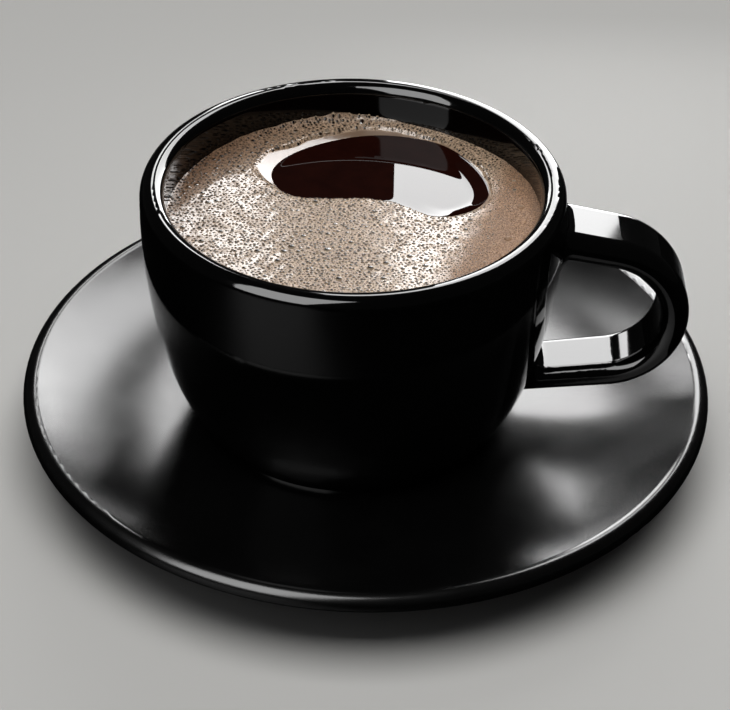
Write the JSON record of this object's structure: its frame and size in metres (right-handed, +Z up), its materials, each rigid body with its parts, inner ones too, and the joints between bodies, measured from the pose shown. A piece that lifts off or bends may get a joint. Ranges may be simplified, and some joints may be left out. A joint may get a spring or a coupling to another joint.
{
  "type": "cup of black coffee on a saucer",
  "caption": "Round handled cup on a wide coupe saucer, filled near the lip with black coffee under a thin bubbly foam with one clear window.",
  "frame": {"origin": "on the face the saucer stands on, under the saucer's middle", "axes": "+Z up out of the cup's mouth, +X towards the handle"},
  "size_m": [0.149, 0.149, 0.0652],
  "materials": {
    "cup_glaze": "glossy black glaze",
    "saucer_glaze": "satin black glaze with a fine grain",
    "coffee": "clear very dark brown liquid, mirror smooth",
    "foam": "fine beige-brown bubbles, wet"
  },
  "bodies": {
    "root": {"saucer": "saucer_glaze", "cup": "cup_glaze", "coffee": "coffee", "foam": "foam"}
  },
  "joints": []
}
